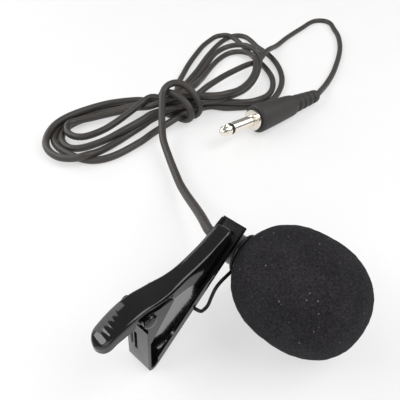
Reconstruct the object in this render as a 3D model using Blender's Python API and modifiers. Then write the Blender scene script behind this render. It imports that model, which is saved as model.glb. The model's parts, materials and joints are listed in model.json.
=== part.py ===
"""Tie-clip lavalier microphone: foam windscreen, electret microphone head, sprung
stamped clip with a wire holder, and a thin lead tied in a hank that ends in a
3.5 mm two-pole plug.

The part lies on its foam and on the fold of its clip. +X runs along the clip from
its tail to its nose, the microphone looks along -Y, and +Z is up. The origin is the
middle of the underside of the microphone and clip, measured without the cord.
"""
import math

import bmesh
import bpy
from mathutils import Matrix, Vector

MM = 0.001
GAP = 0.3 * MM                     # between pieces that touch
FIT = 0.15 * MM                    # between pieces nested inside the capsule
WELD = 0.00001                     # merge distance of a turned shape's seam
INSET = 0.06 * MM                  # keeps two joined walls from sharing a plane
ARC_STEPS = 6                      # sides of a rounded corner or eye
END_STEPS = 7                      # sides of a quarter of the lever's rounded end
SIDE_VIEW = (math.pi / 2, 0, 0)    # stands a flat outline up, so that its y is the part's z

# Clip plate, in the plane of its side view: x from the fold, z from the table
SHEET = 0.6 * MM
CLIP_WIDTH = 5.4 * MM
PLATE_ANGLE = math.radians(33.0)
FLAP_ANGLE = math.radians(85.2)
FOLD_RADIUS = 1.2 * MM
PLATE_REACH = 26.5 * MM            # nose of the plate, measured along x
FLAP_TOP = 11.5 * MM
ROOT = 0.15 * MM                   # how far an ear or a rim starts inside the folded strip
RIM_HEIGHT = 1.0 * MM
# Along a rim: x in millimetres, and the part of the full height it has there
RIM_LINE = [(2.2, 1.0), (15.4, 1.0), (16.0, 0.7), (23.8, 0.7), (25.6, 0.35)]
EAR_LOW = 8.0 * MM                 # where an ear leaves the flap, and where it ends above the pin
EAR_HIGH = 12.6 * MM
EAR_STEP = 0.3 * MM
EAR_RADIUS = 1.25 * MM
EAR_ARC = (math.radians(60), math.radians(200))
EAR_POINTS = [(7.0, 14.3), (6.6, 14.8), (4.0, 15.15)]
SLOT_Z = 6.8 * MM
SLOT_Y = 0.5 * MM
SLOT_WIDTH = 0.7 * MM
SLOT_LENGTH = 4.6 * MM

# Pin, lever and spring
PIN_X = 1.6 * MM
PIN_Z = 14.6 * MM
PIN_RADIUS = 0.6 * MM
PIN_HEAD_RADIUS = 1.3 * MM
PIN_HEAD_HEIGHT = 0.55 * MM
PIN_DOME = (67.5, 45.0, 22.5, 0.0)         # angles of the domed head's outline, in degrees
PIN_FAR_HEAD = (0.85 * MM, 0.35 * MM)      # radius and height of the flat head on the far side
LEVER_SHEET = 0.5 * MM
LEVER_TAIL = -7.0 * MM
LEVER_NOSE = 24.0 * MM
# Upper line of the lever, then its lower edge from nose to tail, then its half width along x
LEVER_TOP = [(-7.0, 15.0), (-6.1, 15.8), (-4.0, 16.5), (-1.0, 16.95), (2.0, 16.75), (5.0, 16.0),
             (8.5, 15.4), (12.5, 15.4), (17.0, 16.0), (20.5, 16.9), (22.6, 17.4), (24.0, 16.9)]
LEVER_LOW = [(13.0, 11.8), (9.6, 12.9), (7.4, 13.5), (4.4, 14.2)]
LEVER_TAIL_LOW = [(-0.8, 14.9), (-4.4, 14.6), (-6.4, 13.9), (-7.0, 13.9)]
LEVER_HALF = [(-5.0, 2.05), (-3.0, 2.2), (-1.0, 2.3), (2.0, 2.35), (5.0, 2.3), (7.0, 2.15), (9.0, 1.9),
              (11.5, 1.7), (15.0, 1.7), (22.4, 1.75)]
LEVER_TOOL = (12.0 * MM, 21.6 * MM)    # reach of the shapes that trim the lever, in height and in width
LEVER_BITE = 14.4 * MM             # the lower edge follows the plate from here to the nose
HUB_RADIUS = 1.5 * MM
HUB_ARC = (math.radians(-30), math.radians(-170))
LUG_OUTER = 1.7 * MM               # outer side of the two inner walls that turn on the pin
LUG_ENDS = (-0.9 * MM, 7.8 * MM)
POCKET_ENDS = (-0.7 * MM, 7.4 * MM)
RIBS = 5
RIB_START = -5.4 * MM
RIB_PITCH = 0.9 * MM
RIB_RADIUS = 0.3 * MM
RIB_LENGTH = 2.9 * MM
SPRING_WIRE = 0.5 * MM
SPRING_TURNS = 3
SPRING_PITCH = 0.6 * MM
SPRING_STEPS = 14                  # points in a turn of the coil
SPRING_LEG = [(2.05, 8.2), (2.3, 10.4), (2.6, 12.9)]
SPRING_ARM = [(3.2, 15.3), (6.0, 14.6), (9.4, 14.1)]

# Wire holder under the plate
HOLDER_WIRE = 0.7 * MM
HOLDER_Y = -CLIP_WIDTH / 2 - GAP - HOLDER_WIRE / 2
HOLDER_UNDER = [(19.0, 1.2, 0.0), (16.0, 1.2, 0.0), (13.4, 0.9, 0.0), (12.2, -0.4, 0.0), (12.2, -2.0, 0.2)]
HOLDER_LOOP = [(12.6, 5.7), (13.6, 5.0), (14.8, 5.2), (15.8, 6.8), (16.9, 8.2), (18.4, 8.8), (20.2, 8.9)]
HOLDER_START = math.radians(208.0)
HOLDER_SWEEP = math.radians(-338.0)
HOLDER_STEPS = 26                  # points round the ring, before they are spaced out
HOLDER_STEP = 0.9 * MM
RIVET_X = 17.4 * MM
RIVET_Y = 1.2 * MM
RIVET_RADIUS = 1.1 * MM
RIVET_HEIGHT = 0.6 * MM

# Microphone head, along its own axis: z from the middle of the clip, towards the foam
MIC_X = 25.2 * MM
MIC_Z = 10.8 * MM
MIC_RADIUS = 3.25 * MM
MIC_WALL = 0.4 * MM
MIC_BACK = 0.8 * MM                # thickness of the tube's back wall
MIC_REAR = -3.8 * MM
MIC_FRONT = 13.5 * MM
CHAMFER = 0.5 * MM
GRILLE_HOLE = 0.45 * MM
GRILLE_RING = 1.7 * MM
GRILLE_HOLES = 6                   # round the one in the middle
RELIEF_END = -5.0 * MM
RELIEF_NECK = 2.0 * MM
RELIEF_TIP = 1.6 * MM
RELIEF_LIP = 0.5 * MM
CLAMP_RADIUS = 1.9 * MM
CLAMP_ENDS = (-2.0 * MM, -1.0 * MM)

# Electret capsule, from its front to its circuit board
CAN_RADIUS = 2.15 * MM
CAN_WALL = 0.25 * MM
CAN_FRONT = 12.6 * MM
CAN_REAR = 9.4 * MM
CAN_HOLE = 0.5 * MM
DISC = 0.35 * MM
DIAPHRAGM_RING = (0.3 * MM, 0.4 * MM, 0.1 * MM)     # rim width, rim height, film thickness
SPACER = (0.4 * MM, 0.15 * MM)                      # ring width and height
BACK_PLATE = 0.3 * MM
CHAMBER = (0.5 * MM, 0.8 * MM)
TRANSISTOR = (1.1 * MM, 0.9 * MM, 0.45 * MM)
CORE_WIRE = 0.5 * MM
CORE_ROUTE = [(0.5, 0.0, 1.0), (0.9, 0.5, 4.0)]     # mm, for the wire on the +X side

# Foam windscreen: a rounded barrel, from the mouth round the tube to its front end
FOAM_RADIUS = 10.8 * MM
FOAM_MOUTH = 4.0 * MM
FOAM_MIDDLE = 15.8 * MM
FOAM_BACK = 12.4 * MM              # from the middle to where the rear would close
FOAM_END = 28.0 * MM
FOAM_POWER = 2.25                  # 2 is an ellipse, more is squarer
FOAM_STEPS = 15                    # points of its outline, from the front end to the mouth
FOAM_BORE_END = MIC_FRONT + 1.5 * MM

# Lead
CORD_DIAMETER = 2.2 * MM
CORD_RADIUS = CORD_DIAMETER / 2
CORD_HOLE = CORD_RADIUS + 3 * GAP  # in the microphone's back wall
TUBE_STEP = 2.6 * CORD_DIAMETER    # between the points of a tube
HANK_HEIGHT = 4.4 * MM
TIE_HEIGHT = 12.6 * MM

# Plug, along its own axis: z from the front face of the moulding, towards the tip
PLUG_FACE = (77.2 * MM, 31.4 * MM, 4.75 * MM)
PLUG_HEADING = math.radians(172.0)
PLUG_TILT = math.radians(3.6)      # the moulding's lower side lies almost on the table
PLUG_RADIUS = 4.55 * MM
PLUG_BODY = [(3.95, 0.0), (4.55, -0.6), (4.5, -3.0), (3.55, -16.6), (3.3, -17.9), (2.9, -18.4)]
PLUG_RIBS = 4
PLUG_RIB_TOP = -18.8 * MM
PLUG_RIB_PITCH = 2.85 * MM
PLUG_RIB = [(-0.6, 0.0), (-0.6, -0.9), (0.0, -1.0), (-0.1, -2.7)]     # mm, from a rib's radius and top
PLUG_RIB_RADIUS = 2.95 * MM
PLUG_RIB_TAPER = 0.2 * MM
PLUG_RELIEF_END = -31.0 * MM
PLUG_RELIEF_TIP = 2.05 * MM
PLUG_BORE = 2.3 * MM
PLUG_BORE_END = -11.0 * MM
PLUG_LUG = (1.2 * MM, 0.35 * MM, 3.4 * MM)
PLUG_LUG_PLACE = (0, 1.5 * MM, -8.1 * MM)
SHAFT_RADIUS = 1.75 * MM           # of a 3.5 mm plug
SHAFT_BORE = 0.85 * MM
CORE_RADIUS = 0.55 * MM
COLLAR_RADIUS = 3.3 * MM
COLLAR_LENGTH = 1.5 * MM
SHANK_END = -6.0 * MM
SLEEVE_END = 10.2 * MM
INSULATOR = (10.4 * MM, 11.0 * MM)
TIP_PROFILE = [(0.0, 15.0), (0.5, 14.9), (1.1, 14.3), (1.62, 13.4), (1.2, 12.6), (1.2, 12.3), (1.75, 11.8),
               (1.75, 11.2)]
CORE_END = -8.0 * MM

ORIGIN_X = (LEVER_TAIL + MIC_X + FOAM_RADIUS) / 2
ORIGIN_Y = (-FOAM_END - RELIEF_END) / 2

# The lead from the microphone to the tied hank, and from the hank to the plug
LEAD_ROUTE = [(25.2, 0.8, 10.8), (25.2, 3.0, 10.8), (25.2, 5.2, 10.8), (26.6, 7.6, 10.2), (29.0, 10.9, 8.9),
              (31.8, 15.4, 7.2), (37.0, 23.7, 4.6), (43.3, 33.1, 2.2), (47.7, 39.9, 1.3), (50.4, 43.6, 1.4),
              (53.0, 47.0, 2.2)]
TAIL_ROUTE = [(81.3, 55.4, 7.0), (93.8, 57.4, 6.3), (107.2, 58.3, 5.9), (124.1, 60.7, 5.9),
              (136.6, 63.9, 5.8), (144.0, 65.8, 5.0), (152.0, 67.6, 2.6), (162.0, 69.2, 1.3),
              (172.6, 71.0, 1.1), (180.6, 72.0, 1.1), (186.2, 71.2, 1.1), (188.6, 67.4, 1.1),
              (186.2, 63.0, 1.1), (180.8, 58.6, 1.1), (173.0, 52.1, 1.1), (161.9, 45.3, 1.1),
              (151.9, 40.5, 1.1), (142.4, 36.7, 1.1), (133.3, 33.4, 1.1), (124.5, 30.9, 1.3),
              (116.8, 29.0, 1.9), (111.2, 27.3, 2.5), (107.84, 27.09, 2.8)]

# Outlines of the hank, seen from above
LEFT_OUTER = [(58.4, 73.6), (53.0, 79.0), (44.0, 81.6), (34.0, 80.4), (27.6, 76.4), (24.6, 71.0),
              (24.2, 63.4), (27.4, 57.0), (32.6, 53.2), (41.0, 50.9), (50.0, 50.8), (56.0, 53.4),
              (59.0, 62.0)]
LEFT_INNER = [(50.0, 67.8), (43.0, 71.4), (38.4, 73.0), (36.6, 70.4), (39.0, 67.2), (49.0, 65.6)]
RIGHT_OUTER = [(80.0, 69.0), (87.0, 74.6), (100.0, 83.0), (113.0, 89.8), (126.0, 95.0), (135.0, 95.0),
               (142.8, 88.0), (141.4, 79.0), (134.8, 65.4), (128.0, 55.8), (114.0, 43.6), (99.0, 37.8),
               (91.0, 38.6), (82.0, 45.4), (78.6, 57.0)]
RIGHT_INNER = [(90.0, 61.6), (100.0, 67.2), (110.0, 72.2), (118.4, 74.4), (121.0, 71.6), (117.4, 65.2),
               (109.0, 58.0), (98.0, 53.2), (90.0, 53.4)]
TIE_OUTLINE = [(61.6, 52.0), (61.0, 60.0), (63.0, 67.0), (69.0, 69.6), (75.0, 67.6), (76.8, 60.0),
               (76.0, 51.4), (72.0, 47.2), (65.6, 47.4)]


def clear_scene():
    for item in list(bpy.data.objects):
        bpy.data.objects.remove(item, do_unlink=True)


def collection(name):
    made = bpy.data.collections.new(name)
    bpy.context.scene.collection.children.link(made)
    return made


def material(name, colour, roughness, metallic=0.0):
    made = bpy.data.materials.new(name)
    made.use_nodes = True
    shader = made.node_tree.nodes["Principled BSDF"]
    shader.inputs["Base Color"].default_value = (*colour, 1.0)
    shader.inputs["Roughness"].default_value = roughness
    shader.inputs["Metallic"].default_value = metallic
    return made


def add(name, data, look, parent, place=(0, 0, 0)):
    """Links a mesh or curve as a named piece of the part."""
    piece = bpy.data.objects.new(name, data)
    PARTS.objects.link(piece)
    piece.parent = parent
    piece.location = place
    data.materials.append(look)
    return piece


def empty(name, parent, place, turn=(0, 0, 0)):
    made = bpy.data.objects.new(name, None)
    PARTS.objects.link(made)
    made.parent = parent
    made.location = place
    made.rotation_euler = turn
    return made


def smooth(mesh, angle=35):
    mesh.shade_smooth()
    mesh.set_sharp_from_angle(angle=math.radians(angle))


def turned(name, profile, look, parent, steps=32, place=(0, 0, 0)):
    """Turns a closed profile of (radius, z) points, given down its outer side, about local Z."""
    mesh = bpy.data.meshes.new(name)
    shape = bmesh.new()
    corners = [shape.verts.new((radius, 0, z)) for radius, z in profile]
    on_axis = profile[0][0] == 0 and profile[-1][0] == 0
    runs = corners if on_axis else corners + corners[:1]
    for start, end in zip(runs, runs[1:]):
        shape.edges.new((start, end))
    shape.to_mesh(mesh)
    shape.free()
    piece = add(name, mesh, look, parent, place)
    screw = piece.modifiers.new("turn", "SCREW")
    screw.steps = steps
    screw.render_steps = steps
    screw.use_merge_vertices = True
    screw.merge_threshold = WELD
    screw.use_smooth_shade = True
    return piece


def catmull(points, closed=False, per_span=8):
    """Points along the smooth curve through the given points."""
    route = [Vector(p) for p in points]
    count = len(route)
    made = []
    for span in range(count if closed else count - 1):
        if closed:
            a, b, c, d = (route[(span + k - 1) % count] for k in range(4))
        else:
            b, c = route[span], route[span + 1]
            a = route[span - 1] if span > 0 else 2 * b - c
            d = route[span + 2] if span + 2 < count else 2 * c - b
        for step in range(per_span):
            t = step / per_span
            made.append(0.5 * (2 * b + (c - a) * t + (2 * a - 5 * b + 4 * c - d) * t ** 2
                               + (3 * b - a - 3 * c + d) * t ** 3))
    if not closed:
        made.append(route[-1].copy())
    return made


def evenly(points, step):
    """The same path with its points an equal distance apart."""
    lengths = [0.0]
    for start, end in zip(points, points[1:]):
        lengths.append(lengths[-1] + (end - start).length)
    count = max(2, round(lengths[-1] / step))
    made = []
    span = 0
    for index in range(count + 1):
        want = lengths[-1] * index / count
        while span < len(points) - 2 and lengths[span + 1] < want:
            span += 1
        part = (want - lengths[span]) / (lengths[span + 1] - lengths[span])
        made.append(points[span].lerp(points[span + 1], part))
    return made


def wire(name, points, diameter, look, parent, place=(0, 0, 0)):
    """A round wire along a path of points, with closed ends."""
    curve = bpy.data.curves.new(name, "CURVE")
    curve.dimensions = "3D"
    curve.bevel_depth = diameter / 2
    curve.bevel_resolution = 2
    curve.use_fill_caps = True
    spline = curve.splines.new("POLY")
    spline.points.add(len(points) - 1)
    for corner, point in zip(spline.points, points):
        corner.co = (*point, 1.0)
    return add(name, curve, look, parent, place)


def plate(name, outline, thickness, look, parent, place=(0, 0, 0), turn=(0, 0, 0), holes=()):
    """A flat outline in local XY, with its holes, as thick as given and centred on the plane."""
    curve = bpy.data.curves.new(name, "CURVE")
    curve.dimensions = "2D"
    curve.fill_mode = "BOTH"
    curve.extrude = thickness / 2
    for loop in (outline, *holes):
        spline = curve.splines.new("POLY")
        spline.points.add(len(loop) - 1)
        spline.use_cyclic_u = True
        for corner, point in zip(spline.points, loop):
            corner.co = (point[0], point[1], 0.0, 1.0)
    piece = add(name, curve, look, parent, place)
    piece.rotation_euler = turn
    return piece


def as_mesh(piece):
    """Turns a curve piece into a mesh piece of the same name and place."""
    bpy.context.view_layer.update()
    evaluated = piece.evaluated_get(bpy.context.evaluated_depsgraph_get())
    mesh = bpy.data.meshes.new_from_object(evaluated)
    shape = bmesh.new()
    shape.from_mesh(mesh)
    bmesh.ops.remove_doubles(shape, verts=shape.verts, dist=WELD)
    bmesh.ops.recalc_face_normals(shape, faces=shape.faces)
    shape.to_mesh(mesh)
    shape.free()
    name = piece.name
    parent = piece.parent
    place = piece.matrix_basis.copy()
    home = piece.users_collection[0]
    bpy.data.objects.remove(piece, do_unlink=True)
    made = bpy.data.objects.new(name, mesh)
    home.objects.link(made)
    made.parent = parent
    made.matrix_basis = place
    return made


def boolean(piece, other, operation):
    """Keeps other as a hidden tool and joins it to, or cuts it from, a mesh piece."""
    for home in list(other.users_collection):
        home.objects.unlink(other)
    TOOLS.objects.link(other)
    other.hide_render = True
    other.display_type = "WIRE"
    change = piece.modifiers.new(operation.lower(), "BOOLEAN")
    change.operation = operation
    change.object = other


def box(name, size, look, parent, place, turn=(0, 0, 0)):
    mesh = bpy.data.meshes.new(name)
    shape = bmesh.new()
    bmesh.ops.create_cube(shape, size=1.0, matrix=Matrix.Diagonal((*size, 1.0)))
    shape.to_mesh(mesh)
    shape.free()
    piece = add(name, mesh, look, parent, place)
    piece.rotation_euler = turn
    return piece


def rod(name, radius, length, look, parent, place, turn=(0, 0, 0), segments=24):
    mesh = bpy.data.meshes.new(name)
    shape = bmesh.new()
    bmesh.ops.create_cone(shape, cap_ends=True, segments=segments, radius1=radius, radius2=radius,
                          depth=length)
    shape.to_mesh(mesh)
    shape.free()
    smooth(mesh)
    piece = add(name, mesh, look, parent, place)
    piece.rotation_euler = turn
    return piece


def strip_corner():
    """Where the plate's and the flap's outer faces would meet without their fold."""
    half_fold = (FLAP_ANGLE - PLATE_ANGLE) / 2
    to_centre = FOLD_RADIUS / math.sin(half_fold)
    bisector = (FLAP_ANGLE + PLATE_ANGLE) / 2
    return FOLD_RADIUS - to_centre * math.cos(bisector), FOLD_RADIUS - to_centre * math.sin(bisector)


def plate_under(x):
    """Height of the clip plate's lower face at x."""
    corner_x, corner_z = strip_corner()
    return corner_z + (x - corner_x) * math.tan(PLATE_ANGLE)


def plate_over(x):
    """Height of the clip plate's upper face at x."""
    return plate_under(x) + SHEET / math.cos(PLATE_ANGLE)


def flap_back(z):
    """x of the flap's outer face at height z."""
    corner_x, corner_z = strip_corner()
    return corner_x + (z - corner_z) / math.tan(FLAP_ANGLE)


def arc(centre, radius, start, end, steps):
    """Points along an arc in the side view, angles in radians."""
    made = []
    for step in range(steps + 1):
        angle = start + (end - start) * step / steps
        made.append((centre[0] + radius * math.cos(angle), centre[1] + radius * math.sin(angle)))
    return made


def mm(points):
    return [tuple(value * MM for value in point) for point in points]


def on_line(line, x):
    """Height of a line of (x, z) points at x."""
    for (x0, z0), (x1, z1) in zip(line, line[1:]):
        if x <= x1:
            return z0 + (z1 - z0) * (x - x0) / (x1 - x0)
    return line[-1][1]


def build_clip_base(look, parent):
    """The folded plate: long lower jaw, flap, side rims and the two ears that hold the pin."""
    centre = (FOLD_RADIUS, FOLD_RADIUS)
    tail_angle = PLATE_ANGLE - math.pi / 2
    flap_angle = FLAP_ANGLE - 1.5 * math.pi
    lower = (PLATE_REACH, plate_under(PLATE_REACH))
    upper = (PLATE_REACH - SHEET * math.sin(PLATE_ANGLE), lower[1] + SHEET * math.cos(PLATE_ANGLE))
    outline = [upper, lower]
    outline += arc(centre, FOLD_RADIUS, tail_angle, flap_angle, ARC_STEPS + 2)
    outline += [(flap_back(FLAP_TOP), FLAP_TOP), (flap_back(FLAP_TOP) + SHEET, FLAP_TOP)]
    outline += arc(centre, FOLD_RADIUS - SHEET, flap_angle, tail_angle, ARC_STEPS)
    base = as_mesh(plate("clip_base", outline, CLIP_WIDTH - 2 * INSET, look, parent, turn=SIDE_VIEW))
    ear = [(flap_back(EAR_LOW) + ROOT, EAR_LOW), (flap_back(EAR_LOW) + SHEET + ROOT, EAR_LOW + EAR_STEP)]
    ear += mm(EAR_POINTS)
    ear += arc((PIN_X, PIN_Z), EAR_RADIUS, *EAR_ARC, ARC_STEPS)
    ear += [(flap_back(EAR_HIGH) + ROOT, EAR_HIGH)]
    rise = RIM_HEIGHT / math.cos(PLATE_ANGLE)
    rim = [(x * MM, plate_under(x * MM) + ROOT) for x, part in (RIM_LINE[0], RIM_LINE[-1])]
    rim += [(x * MM, plate_over(x * MM) + part * rise) for x, part in reversed(RIM_LINE)]
    side = (CLIP_WIDTH - SHEET) / 2
    for number, sign in enumerate((-1, 1)):
        for part, shape in (("ear", ear), ("rim", rim)):
            wall = as_mesh(plate(f"{part}_{number}", shape, SHEET, look, parent,
                                 (0, sign * side, 0), SIDE_VIEW))
            boolean(base, wall, "UNION")
    slot = box("flap_slot", (4 * SHEET, SLOT_WIDTH, SLOT_LENGTH), look, parent,
               (flap_back(SLOT_Z), SLOT_Y, SLOT_Z), (0, math.pi / 2 - FLAP_ANGLE, 0))
    boolean(base, slot, "DIFFERENCE")
    hole = rod("pin_hole", PIN_RADIUS + GAP, 2 * CLIP_WIDTH, look, parent, (PIN_X, 0, PIN_Z), SIDE_VIEW)
    boolean(base, hole, "DIFFERENCE")
    return base


def lever_plan(tail, nose, inward):
    """The lever's outline seen from above, its two ends rounded, drawn in by inward."""
    line = mm(LEVER_HALF)
    tail_half = line[0][1] - inward
    nose_half = line[-1][1] - inward
    right = [(x, half - inward) for x, half in line]
    right = arc((tail + tail_half, 0), tail_half, math.pi, math.pi / 2, END_STEPS)[:-1] + right
    right += arc((nose - nose_half, 0), nose_half, math.pi / 2, 0, END_STEPS)[1:]
    left = [(x, -half) for x, half in reversed(right[1:-1])]
    return [(x - PIN_X, y) for x, y in right + left]


def build_clip_lever(look, parent):
    """The upper jaw: a round-ended channel with walls all round, two inner lugs and a ribbed tail."""
    def local(points):
        return [(x - PIN_X, z - PIN_Z) for x, z in points]
    tall, wide = LEVER_TOOL
    top = [(p.x, p.y) for p in catmull([(x, z, 0) for x, z in mm(LEVER_TOP)], per_span=3)]
    bite = [(LEVER_NOSE, plate_over(LEVER_NOSE) + GAP), (LEVER_BITE, plate_over(LEVER_BITE) + GAP + INSET)]
    hub = arc((PIN_X, PIN_Z), HUB_RADIUS, *HUB_ARC, ARC_STEPS)
    low = bite + mm(LEVER_LOW) + hub + mm(LEVER_TAIL_LOW)
    lever = as_mesh(plate("clip_lever", local(top + low), wide, look, parent, turn=SIDE_VIEW))
    plan = as_mesh(plate("lever_plan", lever_plan(LEVER_TAIL, LEVER_NOSE, 0), tall, look, parent))
    boolean(lever, plan, "INTERSECT")
    under = [(x, z - LEVER_SHEET) for x, z in top]
    hollow_side = under + [(LEVER_NOSE, 0), (LEVER_TAIL, 0)]
    hollow = as_mesh(plate("lever_hollow", local(hollow_side), wide, look, parent, turn=SIDE_VIEW))
    inner = lever_plan(LEVER_TAIL + LEVER_SHEET, LEVER_NOSE - LEVER_SHEET, LEVER_SHEET)
    inner_plan = as_mesh(plate("lever_inner_plan", inner, 2 * tall, look, parent))
    boolean(hollow, inner_plan, "INTERSECT")
    boolean(lever, hollow, "DIFFERENCE")
    pocket = [(x, z - INSET) for x, z in under if POCKET_ENDS[0] < x < POCKET_ENDS[1]]
    pocket = [(POCKET_ENDS[0], on_line(under, POCKET_ENDS[0]) - INSET)] + pocket
    pocket += [(POCKET_ENDS[1], on_line(under, POCKET_ENDS[1]) - INSET), (POCKET_ENDS[1], 0),
               (POCKET_ENDS[0], 0)]
    lug = [(x, z - INSET) for x, z in top if LUG_ENDS[0] < x < LUG_ENDS[1]]
    lug = [(LUG_ENDS[0], on_line(top, LUG_ENDS[0]) - INSET)] + lug
    lug += [(LUG_ENDS[1], on_line(top, LUG_ENDS[1]) - INSET)]
    lug += mm(LEVER_LOW[2:]) + hub + mm(LEVER_TAIL_LOW[:1])
    for number, sign in enumerate((-1, 1)):
        cut = as_mesh(plate(f"ear_pocket_{number}", local(pocket), CLIP_WIDTH, look, parent,
                            (0, sign * (LUG_OUTER + CLIP_WIDTH / 2), 0), SIDE_VIEW))
        boolean(lever, cut, "DIFFERENCE")
        wall = as_mesh(plate(f"lever_lug_{number}", local(lug), LEVER_SHEET, look, parent,
                             (0, sign * (LUG_OUTER - LEVER_SHEET / 2), 0), SIDE_VIEW))
        boolean(lever, wall, "UNION")
    for number in range(RIBS):
        x = RIB_START + RIB_PITCH * number
        rib = rod(f"lever_rib_{number}", RIB_RADIUS, RIB_LENGTH, look, parent,
                  (x - PIN_X, 0, on_line(top, x) - PIN_Z), SIDE_VIEW, segments=8)
        boolean(lever, rib, "UNION")
    hole = rod("lever_hole", PIN_RADIUS + GAP, 2 * CLIP_WIDTH, look, parent, (0, 0, 0), SIDE_VIEW)
    boolean(lever, hole, "DIFFERENCE")
    return lever


def build_pin(look, parent):
    """The rivet through the ears: a low domed head outside one, a small flat head outside the other."""
    inner = CLIP_WIDTH / 2 + GAP
    dome = [(PIN_HEAD_RADIUS * math.cos(angle), inner + PIN_HEAD_HEIGHT * math.sin(angle))
            for angle in (math.radians(a) for a in PIN_DOME)]
    far_radius, far_height = PIN_FAR_HEAD
    profile = [(0, inner + PIN_HEAD_HEIGHT)] + dome + [(PIN_RADIUS, inner), (PIN_RADIUS, -inner)]
    profile += [(far_radius, -inner), (far_radius, -inner - far_height), (0, -inner - far_height)]
    pin = turned("pivot_pin", profile, look, parent, 24, (PIN_X, 0, PIN_Z))
    pin.rotation_euler = SIDE_VIEW
    return pin


def build_spring(look, parent):
    """Torsion spring round the pin: one leg on the flap, the other under the lever."""
    radius = PIN_RADIUS + GAP + SPRING_WIRE / 2
    half_length = SPRING_TURNS * SPRING_PITCH / 2
    route = [(x - PIN_X, -half_length, z - PIN_Z) for x, z in mm(SPRING_LEG)]
    sweep = SPRING_TURNS * 2 * math.pi + math.pi / 2
    count = round(SPRING_STEPS * sweep / (2 * math.pi))
    for step in range(count + 1):
        angle = sweep * step / count
        y = -half_length + 2 * half_length * step / count
        route.append((radius * math.cos(angle), y, radius * math.sin(angle)))
    route += [(x - PIN_X, half_length, z - PIN_Z) for x, z in mm(SPRING_ARM)]
    return wire("torsion_spring", [Vector(p) for p in route], SPRING_WIRE, look, parent, (PIN_X, 0, PIN_Z))


def build_holder(look, metal, parent):
    """Spring wire that hangs under the plate and rings the microphone, and its rivet."""
    ring = MIC_RADIUS + GAP + HOLDER_WIRE / 2
    under = (GAP + HOLDER_WIRE / 2) / math.cos(PLATE_ANGLE)
    route = [(x * MM, y * MM, plate_under(x * MM) - under - drop * MM) for x, y, drop in HOLDER_UNDER]
    route += [(x * MM, HOLDER_Y, z * MM) for x, z in HOLDER_LOOP]
    bend = len(route) + 1
    for step in range(HOLDER_STEPS + 1):
        angle = HOLDER_START + HOLDER_SWEEP * step / HOLDER_STEPS
        route.append((MIC_X + ring * math.cos(angle), HOLDER_Y, MIC_Z + ring * math.sin(angle)))
    smooth_part = catmull(route[:bend], per_span=4)[:-1]
    points = evenly(smooth_part + [Vector(p) for p in route[bend - 1:]], HOLDER_STEP)
    wire("holder_wire", points, HOLDER_WIRE, look, parent)
    rivet = rod("holder_rivet", RIVET_RADIUS, RIVET_HEIGHT, metal, parent, (0, 0, 0), segments=20)
    drop = GAP + HOLDER_WIRE + GAP + RIVET_HEIGHT / 2
    rivet.location = (RIVET_X + drop * math.sin(PLATE_ANGLE), RIVET_Y,
                      plate_under(RIVET_X) - drop * math.cos(PLATE_ANGLE))
    rivet.rotation_euler = (0, -PLATE_ANGLE, 0)


def build_windscreen(look, parent):
    """Rounded barrel of open-cell foam with a blind bore for the microphone."""
    shape = 2 / FOAM_POWER
    mouth_angle = -math.asin(((FOAM_MIDDLE - FOAM_MOUTH) / FOAM_BACK) ** (FOAM_POWER / 2))
    outer = [(0, FOAM_END)]
    for step in range(1, FOAM_STEPS + 1):
        angle = math.pi / 2 + (mouth_angle - math.pi / 2) * step / FOAM_STEPS
        reach = FOAM_END - FOAM_MIDDLE if angle > 0 else FOAM_BACK
        height = math.copysign(abs(math.sin(angle)) ** shape, angle)
        outer.append((FOAM_RADIUS * math.cos(angle) ** shape, FOAM_MIDDLE + reach * height))
    bore = MIC_RADIUS + GAP
    profile = outer + [(bore, FOAM_MOUTH), (bore, FOAM_BORE_END), (0, FOAM_BORE_END)]
    return turned("windscreen", profile, look, parent, 40)


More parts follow.
